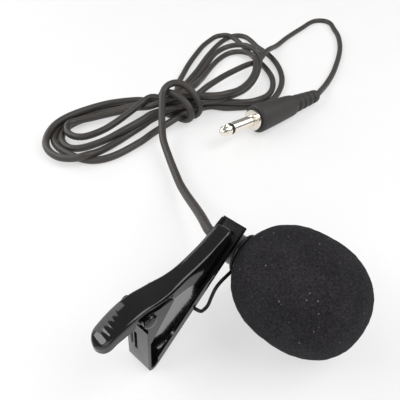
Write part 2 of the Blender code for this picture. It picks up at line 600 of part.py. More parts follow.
def build_head(looks, parent):
    """Microphone head: tube and grille, then what they hold."""
    bore = MIC_RADIUS - MIC_WALL
    turned("mic_housing", [(MIC_RADIUS, MIC_FRONT), (MIC_RADIUS, MIC_REAR + CHAMFER),
                           (MIC_RADIUS - CHAMFER, MIC_REAR), (CORD_HOLE, MIC_REAR),
                           (CORD_HOLE, MIC_REAR + MIC_BACK), (bore, MIC_REAR + MIC_BACK),
                           (bore, MIC_FRONT)], looks["housing"], parent)
    grille = rod("mic_grille", MIC_RADIUS, MIC_BACK, looks["housing"], parent,
                 (0, 0, MIC_FRONT + GAP + MIC_BACK / 2), segments=32)
    turns = [2 * math.pi * number / GRILLE_HOLES for number in range(GRILLE_HOLES)]
    holes = [(0, 0)] + [(GRILLE_RING * math.cos(turn), GRILLE_RING * math.sin(turn)) for turn in turns]
    for number, (x, y) in enumerate(holes):
        cutter = rod(f"grille_hole_{number}", GRILLE_HOLE, 4 * MIC_BACK, looks["housing"], parent,
                     (x, y, MIC_FRONT + GAP), segments=12)
        boolean(grille, cutter, "DIFFERENCE")
    board_back = build_capsule(looks, parent, bore)
    flange = MIC_REAR + MIC_BACK + GAP
    relief = CORD_RADIUS + GAP
    turned("strain_relief", [(bore - 2 * GAP, flange + RELIEF_LIP), (bore - 2 * GAP, flange),
                             (CORD_HOLE - GAP, flange), (CORD_HOLE - GAP, MIC_REAR - GAP),
                             (RELIEF_NECK, MIC_REAR - GAP), (RELIEF_NECK, MIC_REAR - 2 * GAP),
                             (RELIEF_TIP, RELIEF_END), (relief, RELIEF_END),
                             (relief, flange + RELIEF_LIP)], looks["rubber"], parent)
    turned("cord_clamp", ring_profile(CLAMP_RADIUS, CLAMP_RADIUS - relief, CLAMP_ENDS[1],
                                      CLAMP_ENDS[1] - CLAMP_ENDS[0]), looks["steel"], parent)
    start = -LEAD_ROUTE[0][1] * MM + GAP
    for name, sign in (("signal_wire", 1), ("shield_wire", -1)):
        near, far = [(sign * x, sign * y, z) for x, y, z in CORE_ROUTE]
        route = mm([(near[0], 0, start / MM), near, far, (far[0], 0, board_back / MM)])
        wire(name, catmull(route, per_span=5), CORE_WIRE, looks[name], parent)


def ring_profile(outer, width, top, height):
    return [(outer, top), (outer, top - height), (outer - width, top - height), (outer - width, top)]


def build_capsule(looks, parent, bore):
    """Electret capsule in its rubber sleeve. Gives the height of the back of its board."""
    can_bore = CAN_RADIUS - CAN_WALL
    length = CAN_FRONT - CAN_REAR
    turned("capsule_sleeve", ring_profile(bore - FIT, bore - CAN_RADIUS - 2 * FIT, CAN_FRONT, length),
           looks["rubber"], parent)
    turned("capsule_can", [(CAN_HOLE, CAN_FRONT), (CAN_RADIUS, CAN_FRONT), (CAN_RADIUS, CAN_REAR),
                           (can_bore, CAN_REAR), (can_bore, CAN_FRONT - CAN_WALL),
                           (CAN_HOLE, CAN_FRONT - CAN_WALL)], looks["aluminium"], parent)
    rod("capsule_felt", CAN_RADIUS, DISC, looks["felt"], parent, (0, 0, CAN_FRONT + FIT + DISC / 2),
        segments=32)
    inner = can_bore - FIT
    rim, height, film = DIAPHRAGM_RING
    z = CAN_FRONT - CAN_WALL - FIT
    turned("diaphragm", [(0, z), (inner, z), (inner, z - height), (inner - rim, z - height),
                         (inner - rim, z - film), (0, z - film)], looks["brass"], parent)
    z -= height + FIT
    turned("spacer_ring", ring_profile(inner, SPACER[0], z, SPACER[1]), looks["plastic"], parent)
    z -= SPACER[1] + FIT
    rod("back_plate", inner, BACK_PLATE, looks["brass"], parent, (0, 0, z - BACK_PLATE / 2), segments=32)
    z -= BACK_PLATE + FIT
    turned("chamber_ring", ring_profile(inner, CHAMBER[0], z, CHAMBER[1]), looks["plastic"], parent)
    z -= CHAMBER[1] + FIT
    box("transistor", TRANSISTOR, looks["plastic"], parent, (0, 0, z + FIT + TRANSISTOR[2] / 2))
    rod("capsule_board", inner, DISC, looks["board"], parent, (0, 0, z - DISC / 2), segments=32)
    return z - DISC - FIT


def cord_tube(name, route, look, parent):
    points = evenly(catmull(mm(route)), TUBE_STEP)
    return wire(name, points, CORD_DIAMETER, look, parent)


def build_cord(look, parent):
    """The lead's loose stretches, and the closed outer shapes of the tied hank."""
    cord_tube("cord_lead", LEAD_ROUTE, look, parent)
    cord_tube("cord_tail", TAIL_ROUTE, look, parent)
    lobes = (("hank_left", LEFT_OUTER, LEFT_INNER, HANK_HEIGHT),
             ("hank_right", RIGHT_OUTER, RIGHT_INNER, HANK_HEIGHT),
             ("hank_tie", TIE_OUTLINE, None, TIE_HEIGHT))
    for name, outer, inner, height in lobes:
        loops = [[(p.x, p.y) for p in catmull([(x, y, 0) for x, y in mm(line)], closed=True, per_span=3)]
                 for line in (outer, inner) if line]
        plate(name, loops[0], height, look, parent, (0, 0, height / 2), holes=loops[1:])


def build_plug(looks, parent):
    """Two-pole plug: moulding with a ribbed strain relief, sleeve, insulator, tip and lug."""
    profile = mm(PLUG_BODY)
    for rib in range(PLUG_RIBS):
        top = PLUG_RIB_TOP - PLUG_RIB_PITCH * rib
        radius = PLUG_RIB_RADIUS - PLUG_RIB_TAPER * rib
        profile += [(radius + inward, top + drop) for inward, drop in mm(PLUG_RIB)]
    cord_bore = CORD_RADIUS + GAP
    profile += [(PLUG_RELIEF_TIP, PLUG_RELIEF_END), (cord_bore, PLUG_RELIEF_END), (cord_bore, PLUG_BORE_END),
                (PLUG_BORE, PLUG_BORE_END), (PLUG_BORE, 0)]
    turned("plug_moulding", profile, looks["moulding"], parent, 28)
    shank = PLUG_BORE - GAP
    edge = FIT
    turned("plug_sleeve", [(SHAFT_BORE, SLEEVE_END), (SHAFT_RADIUS - edge, SLEEVE_END),
                           (SHAFT_RADIUS, SLEEVE_END - edge), (SHAFT_RADIUS, COLLAR_LENGTH),
                           (COLLAR_RADIUS - edge, COLLAR_LENGTH), (COLLAR_RADIUS, COLLAR_LENGTH - edge),
                           (COLLAR_RADIUS, GAP), (shank, GAP), (shank, SHANK_END), (SHAFT_BORE, SHANK_END)],
           looks["nickel"], parent, 28)
    turned("plug_insulator", ring_profile(SHAFT_RADIUS, SHAFT_RADIUS - SHAFT_BORE, INSULATOR[1],
                                          INSULATOR[1] - INSULATOR[0]), looks["plastic"], parent, 28)
    tip = mm(TIP_PROFILE) + [(CORE_RADIUS, TIP_PROFILE[-1][1] * MM), (CORE_RADIUS, CORE_END), (0, CORE_END)]
    turned("plug_tip", tip, looks["nickel"], parent, 28)
    box("plug_lug", PLUG_LUG, looks["nickel"], parent, PLUG_LUG_PLACE)


clear_scene()
PARTS = collection("lavalier_microphone")
TOOLS = collection("tools")

LOOKS = {
    "foam": material("foam", (0.022, 0.021, 0.023), 0.95),
    "paint": material("gloss_black_paint", (0.006, 0.006, 0.007), 0.18),
    "black_steel": material("blackened_spring_wire", (0.02, 0.02, 0.022), 0.35, 0.7),
    "housing": material("satin_grey_tube", (0.11, 0.11, 0.115), 0.38, 0.6),
    "rubber": material("black_rubber", (0.02, 0.02, 0.02), 0.7),
    "aluminium": material("capsule_aluminium", (0.75, 0.75, 0.77), 0.35, 1.0),
    "felt": material("black_felt", (0.01, 0.01, 0.01), 1.0),
    "brass": material("brass", (0.72, 0.52, 0.22), 0.35, 1.0),
    "plastic": material("black_plastic", (0.015, 0.015, 0.015), 0.5),
    "board": material("circuit_board", (0.05, 0.2, 0.08), 0.5),
    "steel": material("crimp_steel", (0.55, 0.55, 0.56), 0.4, 1.0),
    "signal_wire": material("red_insulation", (0.5, 0.03, 0.03), 0.5),
    "shield_wire": material("copper_braid", (0.72, 0.36, 0.2), 0.4, 1.0),
    "jacket": material("cord_jacket", (0.06, 0.055, 0.052), 0.5),
    "moulding": material("plug_moulding", (0.055, 0.055, 0.055), 0.55),
    "nickel": material("nickel_plate", (0.78, 0.75, 0.7), 0.2, 1.0),
}

frame = empty("part_frame", None, (-ORIGIN_X, -ORIGIN_Y, 0))
mic_axis = empty("mic_axis", frame, (MIC_X, 0, MIC_Z), (math.pi / 2, 0, 0))
clip_frame = empty("clip_frame", frame, (0, 0, 0))
lever_pivot = empty("lever_pivot", clip_frame, (PIN_X, 0, PIN_Z))
plug_axis = empty("plug_axis", frame, PLUG_FACE, (0, math.pi / 2 - PLUG_TILT, PLUG_HEADING))
bpy.context.view_layer.update()

build_windscreen(LOOKS["foam"], mic_axis)
build_head(LOOKS, mic_axis)
build_clip_base(LOOKS["paint"], clip_frame)
build_clip_lever(LOOKS["paint"], lever_pivot)
build_pin(LOOKS["paint"], clip_frame)
build_spring(LOOKS["steel"], clip_frame)
build_holder(LOOKS["black_steel"], LOOKS["paint"], clip_frame)
build_cord(LOOKS["jacket"], frame)
build_plug(LOOKS, plug_axis)
bpy.context.view_layer.update()
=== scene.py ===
"""Looks of a tie-clip lavalier microphone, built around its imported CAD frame."""
import json
import math

import bmesh
import bpy
import numpy as np
from mathutils import Matrix, Vector


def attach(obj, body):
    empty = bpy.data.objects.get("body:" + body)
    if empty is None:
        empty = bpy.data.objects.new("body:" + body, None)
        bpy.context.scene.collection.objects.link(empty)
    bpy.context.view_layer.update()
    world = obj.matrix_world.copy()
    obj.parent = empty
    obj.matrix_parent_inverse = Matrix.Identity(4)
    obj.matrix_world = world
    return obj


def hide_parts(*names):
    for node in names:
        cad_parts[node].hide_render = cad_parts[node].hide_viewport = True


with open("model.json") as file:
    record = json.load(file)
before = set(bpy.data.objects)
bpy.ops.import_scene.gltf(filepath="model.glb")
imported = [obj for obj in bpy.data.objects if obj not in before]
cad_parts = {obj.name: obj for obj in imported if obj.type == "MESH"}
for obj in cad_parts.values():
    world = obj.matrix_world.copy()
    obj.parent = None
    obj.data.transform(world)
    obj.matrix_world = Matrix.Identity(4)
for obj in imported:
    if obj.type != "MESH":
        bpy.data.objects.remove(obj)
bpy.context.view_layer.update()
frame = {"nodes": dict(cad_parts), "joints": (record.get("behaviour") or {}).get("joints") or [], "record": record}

MM = 0.001
joints = {joint["name"]: joint for joint in frame["joints"]}
PIN = Vector(joints["lever_pivot"]["pos_m"])
PIN_AT = (1.6, 14.6)                             # x and z of the pin in the clip's own frame, in millimetres
MIC_AT = (25.2, 10.8)                            # x and z of the microphone's axis, in the same frame
FOLD = PIN - Vector((PIN_AT[0], 0.0, PIN_AT[1])) * MM    # where that frame starts: fold, middle plane, table


def place(x, y, z):
    """A point given in the clip's own frame, in millimetres, as a point of the row frame."""
    return FOLD + Vector((x, y, z)) * MM


# ---------------------------------------------------------------- camera
HEADING = math.radians(-48.0)
PITCH = math.radians(41.0)
camera_data = bpy.data.cameras.new("camera")
camera_data.lens = 36.9
camera_data.sensor_width = 36.0
camera_data.clip_start = 0.005
camera = bpy.data.objects.new("camera", camera_data)
bpy.context.scene.collection.objects.link(camera)
camera.location = place(-19.8, -32.5, 70.7)
look = Vector((-math.sin(HEADING) * math.cos(PITCH), math.cos(HEADING) * math.cos(PITCH), -math.sin(PITCH)))
camera.rotation_euler = look.to_track_quat("-Z", "Y").to_euler()
bpy.context.scene.camera = camera

# ---------------------------------------------------------------- cord
CORD = 2.2                                       # diameter, in millimetres
LEAD = [(25.2, -3, 10.8), (25.2, 0.8, 10.8), (25.2, 3, 10.8), (25.3, 5.2, 10.8), (26.6, 7.4, 10.2),
        (29, 10.9, 8.9), (31.8, 15.4, 7.2), (36.7, 24, 4.6), (42.8, 33.7, 2.1), (47.1, 40.5, 1.3),
        (50, 45, 2.8), (52.6, 48, 5.2), (55.4, 51, 7), (58, 53.6, 8.4), (60.5, 55.8, 9.6)]
TAIL = [(81.3, 55.4, 7), (86.8, 56.4, 6.6), (93.8, 57.4, 6.3), (100.4, 57.9, 6), (107.2, 58.3, 5.8),
        (114.5, 58.8, 5.8), (124.8, 61.4, 5.6), (137.8, 65.2, 4.2), (151, 68.4, 2.2), (162.5, 70, 1.3),
        (172.6, 71, 1.1), (180.6, 72, 1.1), (186.2, 71.2, 1.1), (188.6, 67.4, 1.1), (186.2, 63, 1.1),
        (180.8, 58.6, 1.1), (173, 52.1, 1.1), (161.9, 45.3, 1.1), (151.9, 40.5, 1.1), (142.4, 36.7, 1.1),
        (133.3, 33.4, 1.1),
        (124.5, 30.9, 1.3), (116.8, 29, 1.9), (111.2, 27.6, 2.5), (107.84, 27.09, 2.8),
        (101.3, 28.01, 3.22)]
# Each turn of the hank: its right loop from the far side of the tie to the near side, then its left loop
TURNS = [
    ([(80.4, 68.2), (87.4, 70.6), (92.1, 72.4), (99, 74.9), (107.6, 79), (116.8, 83.7), (125.6, 87.3),
      (134, 89.4), (140.3, 89), (142.4, 85.1), (139.8, 79.1), (135.6, 72.6), (133.3, 67.2), (130.2, 61.4),
      (125.3, 54.9),
      (119.3, 49), (112.6, 44.1), (105.4, 40.7), (98.9, 39), (93.6, 39.4), (89.2, 41.2), (85.3, 44.4),
      (81.5, 48.3), (78.2, 52)],
     [(53.4, 53.6), (50.1, 53.2), (45.7, 53), (41.7, 52.9), (38, 53.2), (34.9, 54), (32.5, 55.7),
      (30.6, 57.9), (29.7, 61.3), (29.3, 65.4), (29.5, 69.1), (30.2, 72.6), (32.6, 75.5), (35.8, 78),
      (39.6, 79.6), (44, 79.6), (48.3, 78.8), (52.8, 77.5), (57.3, 76.1), (61.4, 73.8), (64.6, 70.4)]),
    ([(76.4, 65.6), (86, 73.2), (95.6, 79.4), (103.9, 84), (112.1, 88), (120, 91.6), (127.1, 93.6),
      (133, 93.8), (134.4, 89.8), (135.7, 86.8), (134.1, 82.1), (130.8, 75.9), (126.4, 69.3), (122.6, 62.3),
      (118.8, 55.9), (113.7, 49.6), (108.1, 45.1), (101.8, 41.8), (95, 39.9), (89.3, 40.3), (85.6, 43.2),
      (82.4, 47.3), (78.6, 50.3)],
     [(57.8, 58.6), (54.7, 58.5), (50.5, 58.9), (46.3, 58.9), (41.8, 58.1), (37.5, 57.3), (33.7, 56.8),
      (30.5, 57.2), (28.1, 59.2), (26.2, 61.7), (25.4, 64.6), (25.4, 68.1), (26.6, 72), (28.9, 74.9),
      (32, 77.3), (35.5, 78.6), (39.7, 79.5), (43.9, 79.4), (48.1, 78.7), (52.7, 77.5), (57, 75.7),
      (61.1, 72.9), (64.2, 69.4)]),
    ([(86.6, 68.1), (93.7, 71.7), (101.3, 75.5), (110.1, 79.6), (118.8, 82.3), (125.6, 82.4), (129.3, 79.5),
      (129.9, 74.5), (127.5, 68.6), (121.3, 61.7), (115, 57.4), (109.3, 53.9), (102.6, 51), (95.5, 49),
      (88.4, 48.1), (80.9, 47.7), (77, 50.3)],
     [(57.9, 58.4), (55, 58.4), (51, 58.9), (47.1, 59.2), (43.5, 60), (40.1, 60.8), (37, 62), (34.1, 63.2),
      (31.7, 65.1), (30.4, 67.7), (31, 71.2), (32.6, 74.6), (35.3, 77.1), (38.6, 77.8), (42.1, 77.9),
      (46.2, 76.8), (50.3, 75), (54.3, 72.8), (57.9, 69.9), (61.1, 66.7), (63.6, 64.2)]),
    ([(80.9, 61), (89.4, 65.8), (98.7, 70.9), (107, 74.4), (115.3, 76.9), (122, 77.2), (125.1, 74),
      (124.6, 69.2), (120.9, 63.6), (113, 57), (107.2, 53.1), (100.7, 50.2), (93.6, 48), (87, 46.9),
      (81, 47.2), (77.2, 49.2), (74.9, 51.7)],
     [(60.3, 61.2), (58.7, 64.6), (55.3, 67.4), (51.8, 70.1), (48.1, 72.5), (44.1, 74.4), (40.9, 76.1),
      (38, 76.8), (35.9, 75), (34.6, 71.9), (35, 68.6), (36.9, 66.4), (40, 65.2), (43.4, 64.4),
      (47.4, 64.1), (51.7, 64), (56.1, 63.8), (60.1, 63.5), (63.5, 64)]),
]
TIE_MIDDLE = (69.5, 56.4, 5.6)
TIE_HEADING = math.radians(10.0)
# The wraps of the tie, in the tie's own frame: over the top, down the near side, under and round again
WRAPS = [(-6.2, 2.8, 10.6), (-4.2, 2.9, 11.7), (-1.6, 1.6, 12.4), (0, -0.8, 12), (0.3, -3.4, 10.6),
         (0.3, -5.8, 8.4), (0.2, -7.3, 5.6), (0, -7, 3), (-0.6, -4.8, 1.3), (-1, -1.8, 1.15),
         (-1.6, 1.8, 1.15), (-2.3, 5, 2.1), (-2.9, 6.7, 4.6), (-3.4, 6, 7.4), (-4, 3.4, 9.3),
         (-4.2, 0.2, 9.9), (-4.2, -3, 9.1), (-4.3, -5.8, 7.3), (-4.3, -7.2, 4.8), (-4.1, -6.2, 2.3),
         (-3.7, -3.2, 1.15), (-3.3, 0.6, 1.15), (-2.8, 4.4, 1.6), (-1.2, 6.9, 3.2), (2.6, 7.2, 4.6)]
# Where the strands pass through the tie, across it and up, in the order in which the cord takes them
SLOTS = [(-3.4, 3.4), (4.2, 4.8), (-1.1, 3.4), (1.8, 3.5), (-3.4, 5.6), (2.0, 6.6), (-0.6, 7.6), (-1.4, 5.5)]


def curve_through(points, per_span=10):
    """Points along the smooth curve through the given points."""
    route = [np.array(point, float) for point in points]
    ends = [2 * route[0] - route[1]] + route + [2 * route[-1] - route[-2]]
    made = []
    for a, b, c, d in zip(ends, ends[1:], ends[2:], ends[3:]):
        for step in range(per_span):
            t = step / per_span
            made.append(0.5 * (2 * b + (c - a) * t + (2 * a - 5 * b + 4 * c - d) * t ** 2
                               + (3 * b - a - 3 * c + d) * t ** 3))
    made.append(route[-1])
    return np.array(made)


def evenly(points, step):
    """The same path with its points an equal distance apart."""
    along = np.concatenate([[0], np.cumsum(np.linalg.norm(np.diff(points[:, :3], axis=0), axis=1))])
    at = np.linspace(0, along[-1], max(2, round(along[-1] / step)) + 1)
    return np.stack([np.interp(at, along, points[:, axis]) for axis in range(points.shape[1])], axis=1)


def in_tie(along, across, up):
    """A point of the tie's own frame, in the clip's frame."""
    return (TIE_MIDDLE[0] + along * math.cos(TIE_HEADING) - across * math.sin(TIE_HEADING),
            TIE_MIDDLE[1] + along * math.sin(TIE_HEADING) + across * math.cos(TIE_HEADING), up)


def strand(x, y, turn):
    """A point of the hank before it settles: gathered up and held at the tie, and free in the loops."""
    far = math.hypot(x - TIE_MIDDLE[0], y - TIE_MIDDLE[1])
    rise = max(0.0, 1 - max(0.0, far - 7) / 14)
    up = (1.2 + 2.3 * turn) * (1 - rise) + (3.6 + 1.2 * turn) * rise
    return x, y, up, 0.6 * rise ** 2


def cord_route():
    """The whole cord before it settles, each point with how firmly it keeps its height."""
    route = [(*point, 0.0) for point in LEAD]
    route += [(*in_tie(*point), 1.0) for point in WRAPS]
    slots = iter(SLOTS)
    for number, loops in enumerate(TURNS):
        for loop in loops:
            route += [strand(x, y, number) for x, y in loop]
            across, up = next(slots)
            route.append((*in_tie(0.0, across, up), 0.6))
    return route + [(*point, 0.6 if point[2] > 5 else 0.0) for point in TAIL]


def settle(route, steps=900):
    """Lets the cord lie under its own weight, its strands a diameter apart on each other and the table."""
    points, hold = route[:, :3].copy(), route[:, 3:]
    goal = points.copy()
    rest = np.linalg.norm(np.diff(points, axis=0), axis=1)
    count = len(points)
    along = np.concatenate([[0], np.cumsum(rest)])
    free = 1.0 - ((along < 36) | (along > along[-1] - 13)).astype(float)[:, None]
    weights = np.concatenate([np.full((count, 2), 0.04), 0.15 * hold], axis=1)
    keep = np.concatenate([np.ones((count, 2)), hold], axis=1)
    bows = {}
    for reach in (1, 3):
        bows[reach] = keep[reach:-reach] * ((goal[:-2 * reach] + goal[2 * reach:]) / 2 - goal[reach:-reach])
    for step in range(steps):
        if step % 10 == 0:
            apart = np.linalg.norm(points[:, None] - points[None], axis=2)
            first, second = np.nonzero(apart < 2 * CORD)
            chosen = second - first >= 4
            first, second = first[chosen], second[chosen]
        points[:, 2] -= 0.03 * free[:, 0]
        points += weights * (goal - points) * free
        bend = np.zeros_like(points)
        for reach, strength in ((1, 0.3), (3, 0.15)):
            middle = points[reach:-reach]
            straight = (points[:-2 * reach] + points[2 * reach:]) / 2
            bend[reach:-reach] += strength * (straight - middle - bows[reach])
        points += bend * free
        for sweep in range(3):
            for start in (0, 1):
                a = slice(start, count - 1, 2)
                delta = points[1:][a] - points[:-1][a]
                length = np.linalg.norm(delta, axis=1)
                push = (0.5 * (length - rest[a]) / np.maximum(length, 1e-6))[:, None] * delta
                points[:-1][a] += push * free[:-1][a]
                points[1:][a] -= push * free[1:][a]
        for sweep in range(3):
            delta = points[second] - points[first]
            length = np.linalg.norm(delta, axis=1)
            near = length < CORD
            delta, length = delta[near], length[near]
            push = 0.5 * ((CORD - length) / np.maximum(length, 1e-6))[:, None] * delta
            shift = np.zeros_like(points)
            hits = np.zeros(count)
            np.add.at(shift, second[near], push)
            np.add.at(shift, first[near], -push)
            np.add.at(hits, second[near], 1)
            np.add.at(hits, first[near], 1)
            points += 1.4 * shift / np.maximum(1, hits)[:, None] * free
        points[:, 2] = np.maximum(points[:, 2], CORD / 2)
    return points


line = settle(evenly(curve_through(cord_route()), 1.7))
line[1:-1] = 0.5 * line[1:-1] + 0.25 * (line[:-2] + line[2:])
line = evenly(curve_through(line, 3), 1.2)
line[:, 2] = np.maximum(line[:, 2], CORD / 2)


# ---------------------------------------------------------------- materials
def socket(node, name, value):
    node.inputs[name].default_value = value


def surface(name, dark, light, grain, roughness, metallic=0.0, bump=0.1, depth=0.05,
            stretch=(1, 1, 1), coat=0.0, specular=0.5, sheen=0.0):
    """A material whose colour, roughness and relief all vary with a fine grain, in grains per metre."""
    made = bpy.data.materials.new(name)
    made.use_nodes = True
    nodes, links = made.node_tree.nodes, made.node_tree.links
    shader = nodes["Principled BSDF"]
    socket(shader, "Metallic", metallic)
    socket(shader, "Coat Weight", coat)
    socket(shader, "Coat Roughness", 0.04)
    socket(shader, "Specular IOR Level", specular)
    socket(shader, "Sheen Weight", sheen)
    where = nodes.new("ShaderNodeTexCoord")
    mapping = nodes.new("ShaderNodeMapping")
    socket(mapping, "Scale", stretch)
    links.new(where.outputs["Object"], mapping.inputs["Vector"])
    fine = nodes.new("ShaderNodeTexNoise")
    socket(fine, "Scale", grain)
    socket(fine, "Detail", 4.0)
    socket(fine, "Roughness", 0.6)
    broad = nodes.new("ShaderNodeTexNoise")
    socket(broad, "Scale", grain / 14)
    socket(broad, "Detail", 3.0)
    for noise in (fine, broad):
        links.new(mapping.outputs["Vector"], noise.inputs["Vector"])
    mixed = nodes.new("ShaderNodeMix")
    mixed.data_type = "FLOAT"
    socket(mixed, "Factor", 0.45)
    links.new(fine.outputs["Fac"], mixed.inputs["A"])
    links.new(broad.outputs["Fac"], mixed.inputs["B"])
    ramp = nodes.new("ShaderNodeValToRGB")
    ramp.color_ramp.elements[0].position = 0.3
    ramp.color_ramp.elements[0].color = (*dark, 1)
    ramp.color_ramp.elements[1].position = 0.7
    ramp.color_ramp.elements[1].color = (*light, 1)
    links.new(mixed.outputs["Result"], ramp.inputs["Fac"])
    links.new(ramp.outputs["Color"], shader.inputs["Base Color"])
    spread = nodes.new("ShaderNodeMapRange")
    socket(spread, "From Min", 0.3)
    socket(spread, "From Max", 0.7)
    socket(spread, "To Min", roughness[0])
    socket(spread, "To Max", roughness[1])
    links.new(mixed.outputs["Result"], spread.inputs["Value"])
    links.new(spread.outputs["Result"], shader.inputs["Roughness"])
    relief = nodes.new("ShaderNodeBump")
    socket(relief, "Strength", bump)
    socket(relief, "Distance", depth * MM)
    links.new(fine.outputs["Fac"], relief.inputs["Height"])
    links.new(relief.outputs["Normal"], shader.inputs["Normal"])
    return made


def foam_surface():
    """Open-cell foam: dark walls round pores darkened with painted shade, and a few cells with painted highlights.
    """
    made = surface("foam", (0.009, 0.008, 0.010), (0.046, 0.043, 0.048), 2200, (0.85, 1.0), bump=0.7,
                   depth=0.2, specular=0.12)
    nodes, links = made.node_tree.nodes, made.node_tree.links
    shader = nodes["Principled BSDF"]
    where = nodes["Texture Coordinate"]
    cells = nodes.new("ShaderNodeTexVoronoi")
    socket(cells, "Scale", 3200)
    links.new(where.outputs["Object"], cells.inputs["Vector"])
    # painted shade: each cell's colour darkens towards its middle, standing in for the shade inside the pores
    pore_shade = nodes.new("ShaderNodeMapRange")
    socket(pore_shade, "From Max", 0.75)
    socket(pore_shade, "To Min", 0.25)
    links.new(cells.outputs["Distance"], pore_shade.inputs["Value"])
    painted_pore_shade = nodes.new("ShaderNodeMix")
    painted_pore_shade.data_type = "RGBA"
    painted_pore_shade.blend_type = "MULTIPLY"
    socket(painted_pore_shade, "Factor", 0.85)
    links.new(nodes["Color Ramp"].outputs["Color"], painted_pore_shade.inputs[6])
    links.new(pore_shade.outputs["Result"], painted_pore_shade.inputs[7])
    # painted highlight: a few scattered cells get a light base colour that stands in for glints off the foam
    glint_cells = nodes.new("ShaderNodeTexVoronoi")
    socket(glint_cells, "Scale", 2100)
    links.new(where.outputs["Object"], glint_cells.inputs["Vector"])
    parts = nodes.new("ShaderNodeSeparateColor")
    links.new(glint_cells.outputs["Color"], parts.inputs["Color"])
    chosen = nodes.new("ShaderNodeMath")
    chosen.operation = "GREATER_THAN"
    socket(chosen, 1, 0.975)
    links.new(parts.outputs["Red"], chosen.inputs[0])
    near = nodes.new("ShaderNodeMath")
    near.operation = "LESS_THAN"
    socket(near, 1, 0.28)
    links.new(glint_cells.outputs["Distance"], near.inputs[0])
    both = nodes.new("ShaderNodeMath")
    both.operation = "MULTIPLY"
    links.new(chosen.outputs[0], both.inputs[0])
    links.new(near.outputs[0], both.inputs[1])
    painted_glints = nodes.new("ShaderNodeMix")
    painted_glints.data_type = "RGBA"
    socket(painted_glints, 7, (0.16, 0.155, 0.165, 1))
    links.new(both.outputs[0], painted_glints.inputs[0])
    links.new(painted_pore_shade.outputs[2], painted_glints.inputs[6])
    links.new(painted_glints.outputs[2], shader.inputs["Base Color"])
    relief = nodes.new("ShaderNodeBump")
    socket(relief, "Strength", 0.8)
    socket(relief, "Distance", 0.15 * MM)
    links.new(cells.outputs["Distance"], relief.inputs["Height"])
    links.new(nodes["Bump"].outputs["Normal"], relief.inputs["Normal"])
    links.new(relief.outputs["Normal"], shader.inputs["Normal"])
    return made


LOOKS = {
    "foam": foam_surface(),
    "clip_paint": surface("clip_paint", (0.003, 0.003, 0.0033), (0.007, 0.007, 0.0075), 1500,
                          (0.05, 0.16), bump=0.04, depth=0.03, coat=0.2, specular=0.5),
    "black_wire": surface("black_wire", (0.010, 0.010, 0.011), (0.03, 0.03, 0.032), 3000, (0.2, 0.42),
                          0.6, 0.08),
    "housing": surface("housing", (0.10, 0.10, 0.105), (0.17, 0.17, 0.175), 1800, (0.28, 0.45), 0.7, 0.06,
                       stretch=(1, 6, 1)),
    "rubber": surface("rubber", (0.012, 0.012, 0.012), (0.028, 0.027, 0.026), 3500, (0.55, 0.8), bump=0.12),
    "aluminium": surface("aluminium", (0.6, 0.6, 0.62), (0.8, 0.8, 0.82), 2500, (0.25, 0.45), 1.0, 0.05,
                         stretch=(1, 8, 1)),
    "felt": surface("felt", (0.006, 0.006, 0.006), (0.03, 0.03, 0.03), 5000, (0.9, 1.0), bump=0.6, depth=0.1,
                    sheen=0.3),
    "brass": surface("brass", (0.58, 0.40, 0.15), (0.78, 0.58, 0.26), 2200, (0.22, 0.45), 1.0, 0.05),
    "black_plastic": surface("black_plastic", (0.010, 0.010, 0.010), (0.022, 0.022, 0.022), 4000,
                             (0.38, 0.6)),
    "board": surface("board", (0.03, 0.15, 0.05), (0.07, 0.25, 0.10), 3500, (0.35, 0.6)),
    "red_insulation": surface("red_insulation", (0.40, 0.02, 0.02), (0.58, 0.04, 0.04), 2500,
                              (0.35, 0.55)),
    "copper": surface("copper", (0.60, 0.28, 0.14), (0.80, 0.42, 0.26), 4500, (0.25, 0.5), 1.0, 0.5,
                      stretch=(1, 0.3, 1)),
    "steel": surface("steel", (0.42, 0.42, 0.43), (0.62, 0.62, 0.63), 3200, (0.22, 0.42), 1.0, 0.06,
                     stretch=(4, 1, 1)),
    "cord_jacket": surface("cord_jacket", (0.026, 0.022, 0.020), (0.052, 0.046, 0.041), 2400,
                           (0.36, 0.58), bump=0.16, depth=0.04),
    "plug_moulding": surface("plug_moulding", (0.020, 0.019, 0.018), (0.040, 0.038, 0.036), 2800,
                             (0.5, 0.72), bump=0.22, depth=0.05),
    "nickel": surface("nickel", (0.80, 0.74, 0.66), (0.93, 0.88, 0.80), 900, (0.08, 0.26), 1.0, 0.03),
    "paper": surface("paper", (0.375, 0.375, 0.373), (0.395, 0.395, 0.393), 900, (0.55, 0.75), bump=0.05,
                     depth=0.02),
}


# ---------------------------------------------------------------- pieces
def finish_piece(piece, slot, body, *nodes):
    """Puts a piece in the scene with its finish, on its body, in place of the CAD nodes named."""
    bpy.context.scene.collection.objects.link(piece)
    piece.data.materials.append(LOOKS[slot])
    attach(piece, body)
    if nodes:
        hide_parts(*nodes)
    return piece


def mesh_object(name, shape, angle=32):
    mesh = bpy.data.meshes.new(name)
    bmesh.ops.recalc_face_normals(shape, faces=shape.faces)
    shape.to_mesh(mesh)
    shape.free()
    mesh.shade_smooth()
    mesh.set_sharp_from_angle(angle=math.radians(angle))
    return bpy.data.objects.new(name, mesh)


def rounded(outline, radius, steps=4, closed=True):
    """A 2D outline with every corner rounded, as far as its two sides allow."""
    points = [Vector(p) for p in outline]
    count = len(points)
    made = []
    for index, corner in enumerate(points):
        if not closed and index in (0, count - 1):
            made.append(corner)
            continue
        back = points[index - 1] - corner
        ahead = points[(index + 1) % count] - corner
        reach = min(radius, 0.45 * back.length, 0.45 * ahead.length)
        start = corner + back.normalized() * reach
        end = corner + ahead.normalized() * reach
        for step in range(steps + 1):
            t = step / steps
            made.append((1 - t) ** 2 * start + 2 * t * (1 - t) * corner + t ** 2 * end)
    return made


